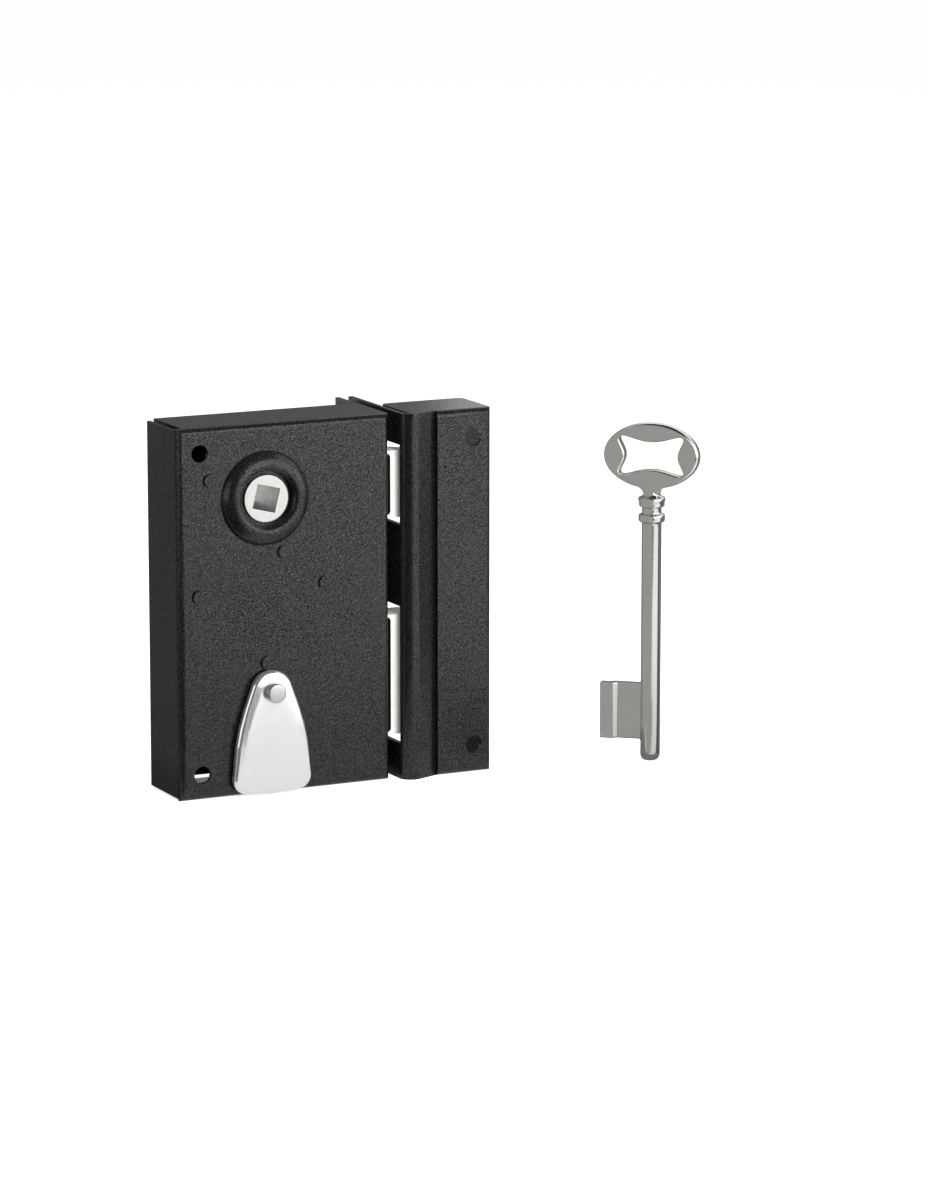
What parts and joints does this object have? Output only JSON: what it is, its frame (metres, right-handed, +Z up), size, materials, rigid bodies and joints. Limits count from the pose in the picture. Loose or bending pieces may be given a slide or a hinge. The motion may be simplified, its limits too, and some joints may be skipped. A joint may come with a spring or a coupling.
{
  "type": "rim box lock",
  "caption": "Rim box lock for a door: black folded case with spindle hub, latch and dead bolt, swinging keyhole cover, folded keeper and loose key.",
  "frame": {"origin": "spindle axis where it meets the door face at the back of the case", "axes": "+X across the door towards the keeper, +Y from the room into the door, +Z up"},
  "size_m": [0.1616, 0.0569, 0.11],
  "materials": {
    "powder_coat": "fine textured matt black powder coat on folded steel",
    "bright_zinc": "bright zinc plate, satin",
    "cast_zinc": "as-cast zinc alloy",
    "bare_steel": "oiled bare steel",
    "spring_steel": "blued spring steel",
    "nickel": "nickel plate over a casting"
  },
  "bodies": {
    "case": {"case_shell": "powder_coat", "back_plate": "bare_steel", "back_plate_screws": "bright_zinc", "pillar_top": "bare_steel", "pillar_right": "bare_steel", "pillar_left": "bare_steel", "bolt_guide_pillar": "bare_steel", "bracket_rivet": "bare_steel", "latch_bracket": "bare_steel", "latch_spring": "spring_steel", "bolt_detent_spring": "spring_steel", "key_cover_rivet": "bright_zinc", "key_cover_spacer": "bare_steel", "keeper_strike": "powder_coat", "keeper_cover": "powder_coat"},
    "spindle_hub": {"hub": "bright_zinc"},
    "latch": {"latch_bolt": "cast_zinc"},
    "bolt": {"dead_bolt": "cast_zinc"},
    "cover": {"key_cover": "bright_zinc"},
    "loose_key": {"key": "nickel"}
  },
  "joints": [
    {"name": "hub_turn", "type": "hinge", "parent": "case", "child": "spindle_hub", "pos_m": [0, -0.011, 0], "axis": [0, -1, 0], "range_deg": [0, 44], "stiffness_Nm_per_rad": 0.055, "springref_deg": -42.4},
    {"name": "latch_slide", "type": "slide", "parent": "case", "child": "latch", "axis": [-1, 0, 0], "range_m": [0, 0.0106], "deforming": ["latch_spring"]},
    {"name": "dead_bolt_slide", "type": "slide", "parent": "case", "child": "bolt", "axis": [-1, 0, 0], "range_m": [0, 0.015], "deforming": ["bolt_detent_spring"]},
    {"name": "key_cover_swing", "type": "hinge", "parent": "case", "child": "cover", "pos_m": [0.0007, -0.0245, -0.057], "axis": [0, -1, 0], "range_deg": [-110, 110]},
    {"name": "key_lift", "type": "slide", "parent": "case", "child": "loose_key", "axis": [0, 0, 1], "range_m": [0, 0.06]}
  ],
  "couplings": [
    {"joint": "latch_slide", "follows": "hub_turn", "m_per_rad": 0.01358}
  ]
}
